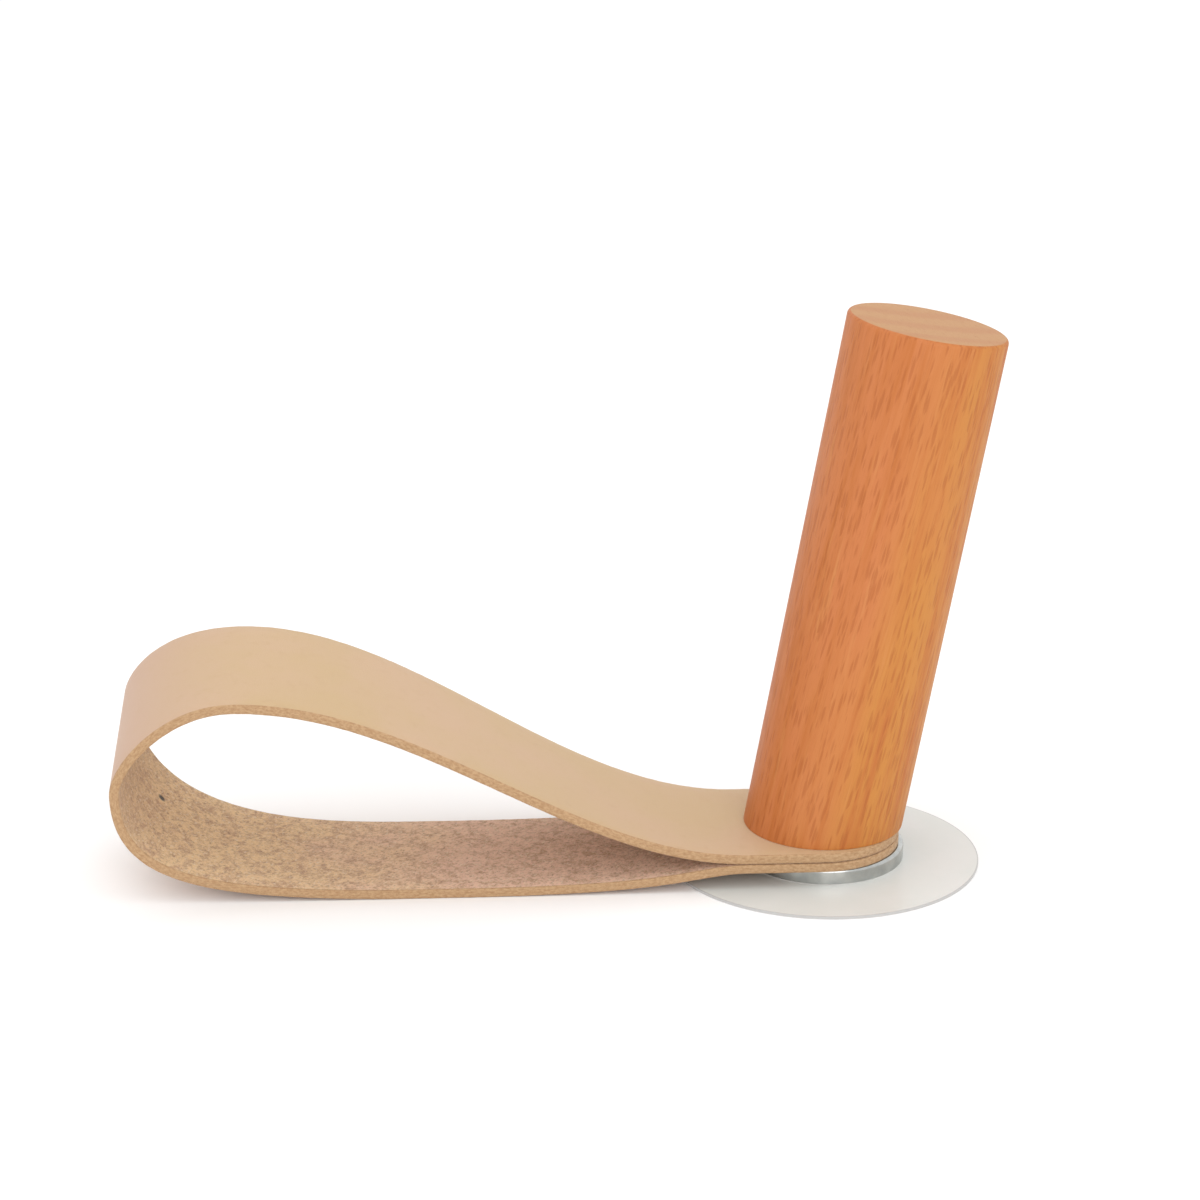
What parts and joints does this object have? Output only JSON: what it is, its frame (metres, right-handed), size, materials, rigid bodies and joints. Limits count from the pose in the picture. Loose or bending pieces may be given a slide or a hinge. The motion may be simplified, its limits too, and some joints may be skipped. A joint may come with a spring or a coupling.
{
  "type": "wall hook",
  "caption": "Self-adhesive wall hook with a leaning round wooden peg and a folded leather strap loop held on the same threaded stud.",
  "frame": {"origin": "centre of the disc's adhesive face, which lies on the wall", "axes": "+Z out of the wall along the stud, -X towards the strap's loop, +X the way the peg leans, Y across the strap"},
  "size_m": [0.1382, 0.05, 0.0894],
  "materials": {
    "liner": "satin",
    "adhesive": "matte",
    "film": "satin",
    "bond": "matte",
    "zinc_plate": "satin",
    "zinc_stud": "satin",
    "leather": "matte",
    "brass": "satin",
    "beech": "satin"
  },
  "bodies": {
    "base": {"release_liner": "liner", "adhesive_pad": "adhesive", "backing_film": "film", "plate_bond": "bond", "base_plate": "zinc_plate", "stud": "zinc_stud"},
    "strap": {"strap": "leather"},
    "insert": {"threaded_insert": "brass"},
    "peg": {"peg": "beech"}
  },
  "joints": [
    {"name": "strap_swivel", "type": "hinge", "parent": "base", "child": "strap", "pos_m": [0, 0, 0.0045], "axis": [0, 0, 1], "continuous": true},
    {"name": "insert_rise", "type": "slide", "parent": "base", "child": "insert", "axis": [0, 0, 1], "range_m": [0, 0.008]},
    {"name": "peg_turn", "type": "hinge", "parent": "insert", "child": "peg", "pos_m": [0, 0, 0.0061], "axis": [0, 0, 1], "range_deg": [0, 2880]}
  ],
  "couplings": [
    {"joint": "peg_turn", "follows": "insert_rise", "rad_per_m": 6283.2}
  ]
}
